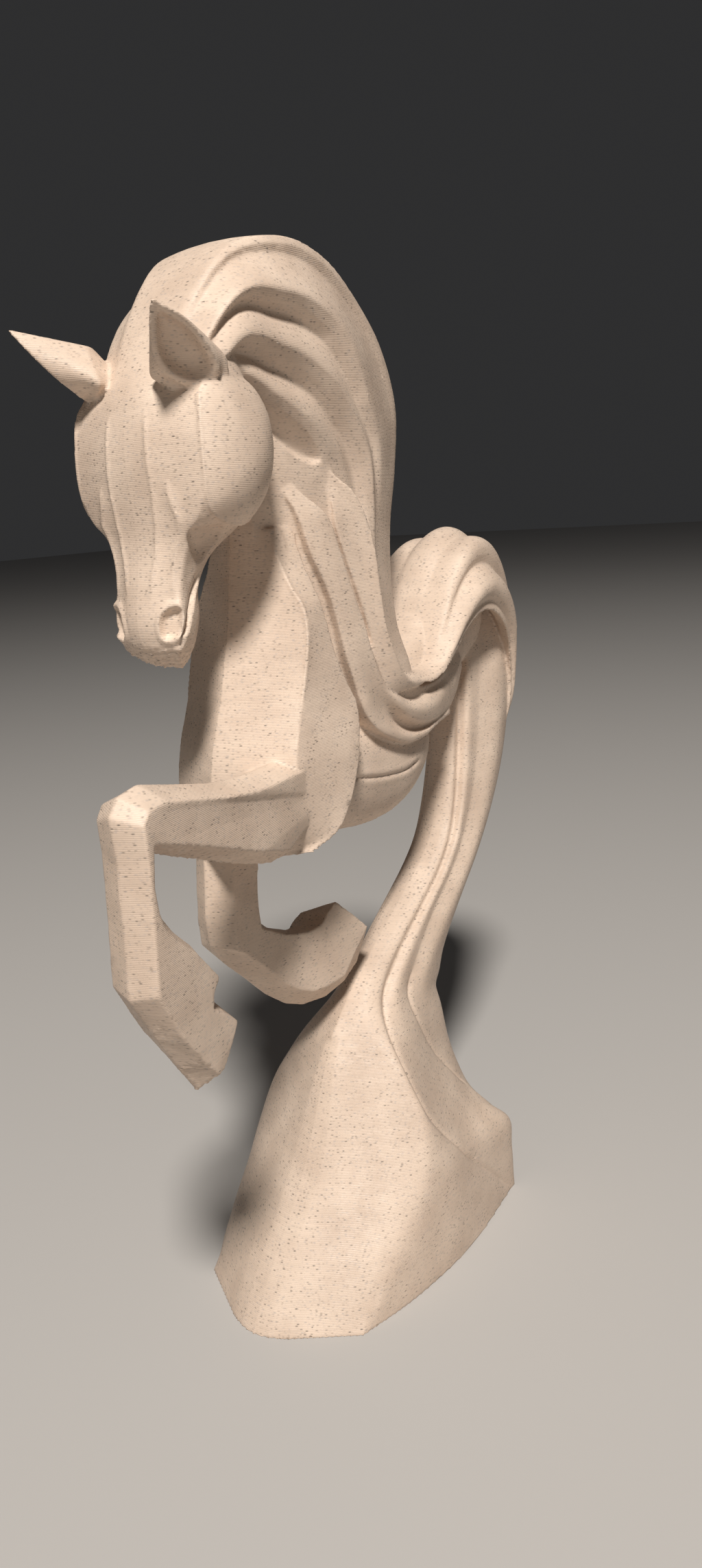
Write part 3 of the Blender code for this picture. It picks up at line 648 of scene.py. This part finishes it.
# Forelegs: side outlines, each row y and z on the middle plane and y and z on the side faces
NEAR_LEG = [
    (-7.5, 84.6, -7.5, 83.2), (-26.0, 85.4, -26.0, 84.0), (-33.0, 86.4, -33.0, 85.0),
    (-40.0, 88.1, -39.9, 86.6), (-45.4, 89.5, -44.8, 87.8), (-48.9, 89.0, -47.8, 87.6),
    (-50.5, 87.2, -48.9, 86.2), (-50.1, 82.0, -48.7, 82.6), (-50.4, 74.5, -49.1, 75.4),
    (-50.9, 67.2, -49.7, 67.8), (-47.0, 60.6, -46.1, 61.2), (-43.9, 55.6, -43.3, 57.4),
    (-41.2, 51.5, -40.4, 54.0), (-38.4, 52.6, -39.2, 54.6), (-35.6, 55.0, -37.4, 56.6),
    (-33.4, 57.6, -36.0, 58.6), (-36.2, 60.5, -38.2, 60.6), (-38.8, 62.2, -40.4, 62.1),
    (-38.4, 63.7, -40.0, 63.8), (-36.7, 64.6, -38.7, 65.4), (-39.5, 69.0, -42.4, 69.8),
    (-42.2, 71.6, -45.2, 72.2), (-44.0, 74.0, -47.2, 74.4), (-44.8, 76.5, -48.0, 76.5),
    (-44.9, 79.4, -48.3, 79.4), (-44.8, 81.8, -47.6, 84.0), (-40.3, 79.8, -40.7, 81.7),
    (-33.0, 76.9, -34.0, 79.2), (-26.3, 74.2, -27.0, 76.6), (-20.0, 72.3, -20.0, 74.4),
    (-7.5, 77.5, -7.5, 78.5)]
FAR_LEG = [
    (-16.6, 84.0, -15.4, 84.0), (-17.2, 74.0, -15.4, 73.0), (-17.8, 66.0, -16.2, 65.4),
    (-18.2, 61.0, -16.5, 60.5), (-17.9, 57.2, -16.4, 56.6), (-15.6, 53.6, -14.8, 55.3),
    (-12.6, 50.4, -11.6, 51.9), (-9.2, 46.6, -8.4, 48.0), (-5.8, 43.8, -6.0, 46.0),
    (-2.6, 42.4, -3.6, 44.7), (1.9, 42.0, -0.6, 44.3), (6.0, 43.2, 2.6, 44.6),
    (8.8, 45.4, 5.2, 48.0), (9.8, 50.2, 7.8, 51.0), (7.0, 53.2, 5.2, 53.8),
    (3.4, 57.0, 1.8, 57.0), (1.6, 56.4, 0.2, 56.0), (-1.0, 55.3, -1.0, 54.6),
    (-4.6, 55.4, -3.6, 54.2), (-8.0, 56.9, -7.9, 55.7), (-10.4, 59.4, -12.0, 58.3),
    (-11.0, 62.4, -12.2, 61.4), (-10.4, 66.0, -12.0, 65.4), (-9.4, 72.0, -11.0, 72.0),
    (-9.0, 84.0, -11.0, 84.0)]
# Each leg's x0, slope, y0, twist and tuck: its middle x is x0 + slope * (y - y0), the twist lifts
# the left side of the hoof, and the tuck draws the root into the shoulder
NEAR_LEG_LINE = (7.6, -0.13, -14.0, 0.0, 1.1)
FAR_LEG_LINE = (-6.4, 0.23, -18.0, 0.42, 0.0)
LEG_THICKNESS = 7.0
TWIST_LENGTH = 20.0      # the twist is full this far behind y0
TUCK_START = -27.0       # the tuck begins at this y
TUCK_LENGTH = 11.0       # and is full after this length


def foreleg(name, outline, line):
    """Leg between two side faces, swelling to a ridge on its middle plane, swung outward."""
    x0, slope, y0, twist, tuck = line

    def ring(first, offset):
        points = []
        for row in outline:
            y, z = row[first], row[first + 1]
            x = x0 + slope * (y - y0) + offset - tuck * limited((y - TUCK_START) / TUCK_LENGTH)
            points.append((x, y, z + offset * twist * limited((y - y0) / TWIST_LENGTH)))
        return points

    half = 0.5 * LEG_THICKNESS
    return skin(name, [ring(2, -half), ring(0, 0.0), ring(2, half)])


VOXEL = 0.25                 # size of the skin's cells where the forms are fused
MOST_TRIANGLES = 190000


def fuse(forms, name):
    """One printed body from the overlapping forms."""
    bpy.ops.object.select_all(action="DESELECT")
    for form in forms:
        form.select_set(True)
    bpy.context.view_layer.objects.active = forms[0]
    bpy.ops.object.join()
    body = bpy.context.view_layer.objects.active
    body.name = name
    body.data.name = name
    remesh = body.modifiers.new("fuse", "REMESH")
    remesh.mode = "VOXEL"
    remesh.voxel_size = VOXEL * MM
    remesh.adaptivity = 0.0
    bpy.ops.object.modifier_apply(modifier=remesh.name)
    return body


def soften(body, rounds):
    """Take the cells' steps off the skin."""
    smooth = body.modifiers.new("soften", "SMOOTH")
    smooth.factor = 0.5
    smooth.iterations = rounds
    bpy.context.view_layer.objects.active = body
    bpy.ops.object.modifier_apply(modifier=smooth.name)


def thin_out(body):
    """Bring the body down to the most triangles allowed."""
    body.data.calc_loop_triangles()
    count = len(body.data.loop_triangles)
    if count <= MOST_TRIANGLES:
        return
    decimate = body.modifiers.new("thin out", "DECIMATE")
    decimate.ratio = MOST_TRIANGLES / count
    bpy.context.view_layer.objects.active = body
    bpy.ops.object.modifier_apply(modifier=decimate.name)


FAR = 1e9


class Clay:
    """The dense skin of a body while its finer lines are worked in, in millimetres."""

    DEPTH = 1.5         # skin further above or below a line than this isn't touched
    LEAST_TURN = 0.2    # nor is skin that faces away from where the line runs
    MOST_TURN = 0.15    # a hollow leaves skin that faces the way it is pressed
    MARGIN = 2.5        # and skin that is further than this from its outline's box

    def __init__(self, body):
        self.body = body
        count = len(body.data.vertices)
        places, ways = np.empty(count * 3), np.empty(count * 3)
        body.data.vertices.foreach_get("co", places)
        body.data.vertex_normals.foreach_get("vector", ways)
        self.places = places.reshape(-1, 3) / MM
        self.ways = ways.reshape(-1, 3)

    def done(self):
        self.body.data.vertices.foreach_set("co", (self.places * MM).ravel())
        self.body.data.update()

    def folded(self):
        """Places and ways with the right side laid over the left one, and the sides' signs."""
        sign = np.where(self.places[:, 0] < 0, -1.0, 1.0)
        turn = np.column_stack([sign, np.ones_like(sign), np.ones_like(sign)])
        return self.places * turn, self.ways * turn, turn

    def line(self, points, profile, fade=1.5):
        """Raise or sink the skin of both sides along a line that fades in and out."""
        line = flow(points, 6)
        offsets, lifts = zip(*profile)
        reach = max(abs(offsets[0]), abs(offsets[-1]))
        places, ways, turn = self.folded()
        margin = reach + self.DEPTH
        inside = np.all((places > line.min(axis=0) - margin) & (places < line.max(axis=0) + margin),
                        axis=1)
        index = np.nonzero(inside)[0]
        spots, facing = places[index], ways[index]
        gap = np.full(len(index), FAR)
        offset, run = np.zeros(len(index)), np.zeros(len(index))
        done = 0.0
        for start, end in zip(line, line[1:]):
            length = np.linalg.norm(end - start)
            if length < 1e-6:
                continue
            way = (end - start) / length
            middle = 0.5 * (start + end)
            nearest = np.argmin(np.sum((spots - middle) ** 2, axis=1))
            along = np.clip((spots - start) @ way, 0, length)
            away = spots - (start + along[:, None] * way)
            rise = np.sum(away * facing, axis=1)
            flat = np.linalg.norm(away - rise[:, None] * facing, axis=1)
            elsewhere = (np.abs(rise) > self.DEPTH) | (facing @ facing[nearest] < self.LEAST_TURN)
            flat[elsewhere] = FAR
            better = flat < gap
            side = np.sign(np.sum(np.cross(way, facing) * away, axis=1))
            gap[better] = flat[better]
            offset[better] = (side * flat)[better]
            run[better] = (done + along)[better]
            done += length
        lift = np.interp(offset, offsets, lifts)
        lift[gap > reach] = 0.0
        lift *= np.clip(run / fade, 0, 1) * np.clip((done - run) / fade, 0, 1)
        self.places[index] += facing * turn[index] * lift[:, None]

    def hollow(self, outline, way, depth, wall):
        """Press the skin of both sides in an outline one way; negative depth raises it."""
        ring = round_trip(outline, 6)
        way = np.array(way) / np.linalg.norm(way)
        across = np.cross(way, (0.0, 0.0, 1.0))
        across /= np.linalg.norm(across)
        upward = np.cross(across, way)
        places, ways, turn = self.folded()
        near = np.all((places > ring.min(axis=0) - self.MARGIN)
                      & (places < ring.max(axis=0) + self.MARGIN), axis=1)
        index = np.nonzero(near & (ways @ way < self.MOST_TURN))[0]
        spots = places[index]
        u, v = spots @ across, spots @ upward
        ru, rv = ring @ across, ring @ upward
        inside = np.zeros(len(index), dtype=bool)
        gap = np.full(len(index), FAR)
        for k in range(len(ring)):
            u0, v0, u1, v1 = ru[k - 1], rv[k - 1], ru[k], rv[k]
            cross = (v0 > v) != (v1 > v)
            if v1 != v0:
                inside ^= cross & (u < (u1 - u0) * (v - v0) / (v1 - v0) + u0)
            span = (u1 - u0) ** 2 + (v1 - v0) ** 2
            t = np.clip(((u - u0) * (u1 - u0) + (v - v0) * (v1 - v0)) / max(span, 1e-9), 0, 1)
            gap = np.minimum(gap, np.hypot(u - u0 - t * (u1 - u0), v - v0 - t * (v1 - v0)))
        share = np.clip(gap / wall, 0, 1) * inside
        amount = depth * (1 - (1 - share) ** 2)
        self.places[index] += way * turn[index] * amount[:, None]


# Low and high corners of the places that printed rough, and how far their strands stand off
ROUGH_PLACES = [((3, -48, 60), (15, -14, 84), 0.17), ((3, -44, 50), (18, -30, 66), 0.22),
                ((-7, -32, 97), (7, -22, 104), 0.30), ((-10, -14, 66), (10, 26, 73), 0.08)]
ROUGH_BELOW = -0.3           # only skin that looks down more than this is rough
ROUGH_RISE = 1.6             # how fast it gets rougher from there
DRIP_WEIGHT = 1.3            # how far the drips stand off, beside the strands
STRAND_GRAIN = (0.9, 0.9, 5.0)
DRIP_GRAIN = (2.1, 2.1, 0.6)
DRIP_SHIFT = (30.0, 0.0, 0.0)


def roughen(clay):
    """Loose strands and small drips on faces that look down."""
    for low, high, amount in ROUGH_PLACES:
        inside = np.all((clay.places > low) & (clay.places < high), axis=1)
        for i in np.nonzero(inside & (clay.ways[:, 2] < ROUGH_BELOW))[0]:
            spot = clay.places[i]
            strands = noise.noise(Vector(spot * STRAND_GRAIN))
            drips = noise.noise(Vector(spot * DRIP_GRAIN + DRIP_SHIFT))
            share = min(1.0, ROUGH_RISE * (ROUGH_BELOW - clay.ways[i, 2]))
            height = strands + DRIP_WEIGHT * max(0.0, drips)
            clay.places[i] += clay.ways[i] * amount * share * height


# Profiles across a line: distance from it, and how far the skin is raised there
RIDGE = ((-0.7, 0.0), (-0.25, 0.04), (0.0, 0.22), (0.25, 0.04), (0.7, 0.0))
SOFT_RIDGE = ((-1.4, 0.0), (-0.5, 0.1), (0.0, 0.32), (0.5, 0.1), (1.4, 0.0))
SLIT = ((-1.2, 0.0), (-0.35, 0.15), (-0.1, -0.45), (0.1, -0.6), (0.35, -0.25), (1.2, 0.0))
CREASE = ((-1.6, 0.0), (-0.7, 0.15), (-0.3, 0.0), (0.0, -0.35), (0.3, 0.0), (0.7, 0.1), (1.6, 0.0))
GAP = ((-1.3, 0.0), (-0.5, -0.7), (0.0, -1.1), (0.5, -0.7), (1.3, 0.0))
GROOVE = ((-0.9, 0.0), (-0.35, -0.12), (0.0, -0.4), (0.35, -0.12), (0.9, 0.0))


def mane_lines(clay):
    # Scoop below the lock that ends behind the cheek
    clay.hollow([(7.0, -15.0, 129.9), (7.2, -11.4, 128.7), (7.6, -7.3, 126.7), (7.9, -4.3, 124.6),
                 (8.2, -2.3, 122.4), (7.9, -3.6, 121.6), (7.5, -5.6, 122.2), (7.2, -7.4, 123.1),
                 (6.7, -10.7, 125.8), (6.4, -13.0, 128.0)], (-0.97, 0.1, -0.1), 0.8, 1.6)
    # Gap behind the shoulder, and the crease of the belly
    clay.line([(8.1, -5.4, 76.6), (8.1, -4.4, 79.0), (8.1, -3.2, 82.4), (8.1, -2.3, 86.0),
               (8.1, -1.9, 89.0)], GAP, 1.5)
    clay.line([(8.2, -2.4, 79.2), (8.2, 2.6, 78.0), (8.2, 6.2, 77.3), (8.0, 10.4, 76.8),
               (7.7, 14.0, 76.6), (7.0, 19.3, 77.2)], CREASE, 2.5)
    # Corner of the shoulder, from the throat down
    clay.line([(4.8, -10.8, 118.2), (5.2, -9.7, 114.3), (5.4, -9.2, 112.6), (5.5, -9.0, 110.4)],
              RIDGE)
    clay.line([(5.1, -11.0, 111.4), (6.3, -10.8, 109.2), (7.4, -10.8, 106.6), (9.0, -10.5, 103.8),
               (9.8, -11.2, 99.7), (9.9, -12.4, 95.4), (9.9, -13.7, 91.7)], RIDGE)


def tail_lines(clay):
    """Crisp bottoms of the two grooves, from the pedestal up the column."""
    halves = tail_halves()
    first_lock, second_lock = TAIL_CORNERS[2:4]
    end = 8 * TAIL_STEPS + 1
    clay.line(halves[:end:4, first_lock], GROOVE, 4.0)
    clay.line(halves[3 * TAIL_STEPS:end:4, second_lock], GROOVE, 3.0)


def face_lines(clay):
    # Edge of the band, down to a thin line beside the nose
    clay.line([(2.9, -29.2, 128.0), (3.1, -29.8, 124.0), (3.3, -29.9, 120.0), (3.1, -29.6, 116.0),
               (2.9, -29.5, 114.0), (2.6, -29.6, 112.0), (2.2, -29.9, 110.0), (1.9, -30.4, 107.6)],
              RIDGE)
    # Nose bone, from the forehead to the nostril
    clay.line([(5.1, -29.2, 120.4), (5.6, -29.1, 117.6), (6.1, -28.9, 115.7), (5.4, -28.8, 113.4),
               (4.7, -28.9, 110.8), (4.5, -29.3, 108.5), (4.8, -29.6, 107.0)], SOFT_RIDGE)
    # Rim of the cheek
    clay.line(CHEEK_RIM[:10], RIDGE)
    # Hollow under the cheek
    clay.hollow([(6.1, -28.2, 114.6), (7.6, -27.4, 115.2), (8.4, -25.0, 114.7), (7.8, -22.4, 114.2),
                 (6.4, -21.4, 113.4), (5.0, -23.0, 111.4), (4.7, -25.0, 110.8), (5.4, -27.2, 112.4)],
                (-0.75, 0.1, 0.6), 0.9, 1.4)
    # Mouth
    clay.line([(4.2, -24.0, 109.8), (4.4, -25.3, 108.3), (4.6, -26.4, 107.0), (5.0, -27.6, 105.1),
               (5.1, -28.3, 103.6), (4.9, -29.0, 102.3), (4.4, -29.5, 101.2)], SLIT)
    # Nostril
    rim = [(3.1, -31.0, 103.3), (3.3, -30.9, 105.1), (4.2, -30.3, 106.1), (5.3, -29.4, 106.2),
           (5.6, -28.9, 105.2), (5.4, -29.2, 103.2), (4.6, -30.2, 102.4), (3.6, -30.8, 102.4)]
    swell = [(2.4, -31.1, 103.0), (2.7, -30.9, 105.5), (4.1, -30.0, 107.0), (5.6, -28.8, 106.6),
             (5.9, -28.2, 105.0), (5.6, -28.6, 102.8), (4.6, -29.9, 101.7), (3.2, -30.8, 101.8)]
    clay.hollow(swell, (-0.55, 0.83, -0.05), -0.3, 0.8)
    clay.hollow(rim, (-0.55, 0.83, -0.1), 1.2, 1.0)


DEEP_CREAM = (0.60, 0.465, 0.365, 1.0)
LIGHT_CREAM = (0.72, 0.575, 0.46, 1.0)
DARK_FLECK = (0.21, 0.17, 0.14, 1.0)
PALE_FLECK = (0.34, 0.31, 0.30, 1.0)
DARK_FLECK_SIZE = 0.00066    # spacing of the flecks in a layer, in metres
PALE_FLECK_SIZE = 0.00062
LAYER_RELIEF = 0.000028      # depth of the line between two layers, in metres


def speckled_filament():
    """Cream filament in level layers, clouded, with flecks drawn out along the layers."""
    material = bpy.data.materials.new("speckled stone filament")
    material.use_nodes = True
    nodes, links = material.node_tree.nodes, material.node_tree.links
    shader = nodes["Principled BSDF"]
    shader.inputs["Metallic"].default_value = 0.0
    shader.inputs["IOR"].default_value = 1.46
    shader.inputs["Specular IOR Level"].default_value = 0.42

    place = nodes.new("ShaderNodeTexCoord")
    split = nodes.new("ShaderNodeSeparateXYZ")
    links.new(place.outputs["Object"], split.inputs[0])

    def feed(socket, value):
        if isinstance(value, (int, float, tuple)):
            socket.default_value = value
        else:
            links.new(value, socket)

    def math_node(operation, *values):
        node = nodes.new("ShaderNodeMath")
        node.operation = operation
        for socket, value in zip(node.inputs, values):
            feed(socket, value)
        return node.outputs[0]

    layer = math_node("DIVIDE", split.outputs["Z"], LAYER)
    number = math_node("FLOOR", layer)

    def flecks(size, layers_apart, seed):
        """Spots that keep to their own layer: dark where the value is low."""
        join = nodes.new("ShaderNodeCombineXYZ")
        links.new(math_node("DIVIDE", split.outputs["X"], size), join.inputs["X"])
        links.new(math_node("DIVIDE", split.outputs["Y"], size), join.inputs["Y"])
        links.new(math_node("ADD", math_node("MULTIPLY", number, layers_apart), seed),
                  join.inputs["Z"])
        cells = nodes.new("ShaderNodeTexVoronoi")
        cells.feature = "F1"
        cells.inputs["Scale"].default_value = 1.0
        cells.inputs["Randomness"].default_value = 1.0
        links.new(join.outputs[0], cells.inputs["Vector"])
        return cells

    def ramp(value, stops):
        node = nodes.new("ShaderNodeValToRGB")
        for element, (position, colour) in zip(node.color_ramp.elements, stops):
            element.position = position
            element.color = colour
        links.new(value, node.inputs[0])
        return node.outputs[0]

    def mixed(kind, share, first, second):
        node = nodes.new("ShaderNodeMix")
        node.data_type = "RGBA"
        node.blend_type = kind
        for number_of_socket, value in ((0, share), (6, first), (7, second)):
            feed(node.inputs[number_of_socket], value)
        return node.outputs[2]

    def noise_node(scale, detail):
        node = nodes.new("ShaderNodeTexNoise")
        node.inputs["Scale"].default_value = scale
        node.inputs["Detail"].default_value = detail
        links.new(place.outputs["Object"], node.inputs["Vector"])
        return node.outputs["Fac"]

    def grey(value):
        return (value, value, value, 1.0)

    black, white = grey(0.0), grey(1.0)
    base = ramp(noise_node(130.0, 5.0), ((0.35, DEEP_CREAM), (0.68, LIGHT_CREAM)))
    strand = nodes.new("ShaderNodeTexWhiteNoise")
    strand.noise_dimensions = "1D"
    links.new(number, strand.inputs["W"])
    base = mixed("MULTIPLY", 1.0, base, ramp(strand.outputs["Value"],
                                             ((0.0, grey(0.95)), (1.0, white))))

    wave = math_node("ABSOLUTE", math_node("SINE", math_node("MULTIPLY", layer, math.pi)))
    lens = ramp(wave, ((0.1, black), (0.6, white)))

    def fleck_share(cells, small, large, faintest):
        """How much of a fleck's colour shows: each has its own strength, and its ends fade."""
        spot = ramp(cells.outputs["Distance"], ((small, white), (large, black)))
        own = nodes.new("ShaderNodeSeparateColor")
        links.new(cells.outputs["Color"], own.inputs[0])
        strength = ramp(own.outputs[0], ((faintest, black), (1.0, white)))
        return math_node("MULTIPLY", math_node("MULTIPLY", spot, strength), lens)

    dark_share = fleck_share(flecks(DARK_FLECK_SIZE, 0.73, 3.1), 0.12, 0.42, 0.2)
    pale_share = fleck_share(flecks(PALE_FLECK_SIZE, 0.61, 8.7), 0.14, 0.48, 0.1)
    tint = mixed("MIX", math_node("MULTIPLY", pale_share, 0.55), base, PALE_FLECK)
    tint = mixed("MIX", dark_share, tint, DARK_FLECK)
    links.new(tint, shader.inputs["Base Color"])

    fine = noise_node(900.0, 3.0)
    links.new(ramp(fine, ((0.3, grey(0.42)), (0.7, grey(0.60)))), shader.inputs["Roughness"])

    height = math_node("ADD", wave, math_node("MULTIPLY", fine, 0.5))
    bump = nodes.new("ShaderNodeBump")
    bump.inputs["Strength"].default_value = 0.6
    bump.inputs["Distance"].default_value = LAYER_RELIEF
    links.new(height, bump.inputs["Height"])
    links.new(bump.outputs["Normal"], shader.inputs["Normal"])
    return material


def build_horse():
    forms = [tail_and_pedestal(), croup_fan(), neck_and_waist(),
             *[band(side, *row) for row in BANDS for side in (1, -1)],
             chest(), barrel("belly_form", BELLY), barrel("haunch_form", HAUNCH),
             head(), cheek(1), cheek(-1), ear(1), ear(-1),
             foreleg("near_leg_form", NEAR_LEG, NEAR_LEG_LINE),
             foreleg("far_leg_form", FAR_LEG, FAR_LEG_LINE)]
    horse = fuse(forms, "printed_horse")
    soften(horse, 1)
    clay = Clay(horse)
    face_lines(clay)
    mane_lines(clay)
    tail_lines(clay)
    roughen(clay)
    clay.done()
    thin_out(horse)
    bpy.ops.object.select_all(action="DESELECT")
    horse.select_set(True)
    bpy.context.view_layer.objects.active = horse
    bpy.ops.object.shade_smooth()
    horse.data.materials.clear()
    horse.data.materials.append(speckled_filament())
    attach(horse, "root")
    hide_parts("rearing_horse")
    return horse


FLOOR_COLOUR = (0.47, 0.45, 0.43)
AIR_COLOUR = (0.80, 0.80, 0.82, 1)
AIR_STRENGTH = 0.035
LIGHTS_AIM = (0, 0, 0.08)
# Each light's name, heading and height in degrees, distance, size, power and colour
LIGHTS = (("key softbox", 37, 51, 1.0, 0.15, 14.0, (1.0, 0.96, 0.91)),
          ("fill softbox", -40, 20, 1.3, 0.8, 0.12, (1.0, 0.93, 0.86)),
          ("rear softbox", 200, 45, 1.3, 0.8, 0.3, (1.0, 0.95, 0.9)))


def plain_paint(name, colour):
    material = bpy.data.materials.new(name)
    material.use_nodes = True
    shader = material.node_tree.nodes["Principled BSDF"]
    shader.inputs["Base Color"].default_value = (*colour, 1)
    shader.inputs["Roughness"].default_value = 0.9
    return material


def studio():
    bpy.ops.mesh.primitive_plane_add(size=6.0, location=(0, 0, 0))
    floor = bpy.context.view_layer.objects.active
    floor.name = "studio_floor"
    floor.data.materials.append(plain_paint("pale floor", FLOOR_COLOUR))

    world = bpy.data.worlds.new("studio air")
    world.use_nodes = True
    air = world.node_tree.nodes["Background"]
    air.inputs["Color"].default_value = AIR_COLOUR
    air.inputs["Strength"].default_value = AIR_STRENGTH
    bpy.context.scene.world = world

    def soft_box(name, heading, height, distance, size, power, colour):
        light = bpy.data.lights.new(name, "AREA")
        light.shape = "DISK"
        light.size = size
        light.energy = power
        light.color = colour
        lamp = bpy.data.objects.new(name, light)
        a, e = math.radians(heading), math.radians(height)
        way = Vector((math.sin(a) * math.cos(e), -math.cos(a) * math.cos(e), math.sin(e)))
        lamp.location = Vector(LIGHTS_AIM) + way * distance
        lamp.rotation_euler = (-way).to_track_quat("-Z", "Y").to_euler()
        bpy.context.scene.collection.objects.link(lamp)

    for row in LIGHTS:
        soft_box(*row)
    bpy.context.scene.view_settings.view_transform = "Standard"


def camera():
    heading, pitch, roll = (math.radians(v) for v in (CAMERA_HEADING, CAMERA_PITCH, CAMERA_ROLL))
    forward = Vector((-math.sin(heading) * math.cos(pitch), math.cos(heading) * math.cos(pitch),
                      -math.sin(pitch)))
    level = Vector((math.cos(heading), math.sin(heading), 0))
    upright = level.cross(forward)
    right = math.cos(roll) * level - math.sin(roll) * upright
    up = math.cos(roll) * upright + math.sin(roll) * level
    data = bpy.data.cameras.new("photo camera")
    data.sensor_fit = "VERTICAL"
    data.sensor_height = CAMERA_FILM
    data.lens = CAMERA_LENS
    data.clip_start = 0.005
    eye = bpy.data.objects.new("photo camera", data)
    turn = Matrix((right, up, -forward)).transposed().to_4x4()
    eye.matrix_world = Matrix.Translation(CAMERA_PLACE) @ turn
    bpy.context.scene.collection.objects.link(eye)
    bpy.context.scene.camera = eye


build_horse()
studio()
camera()
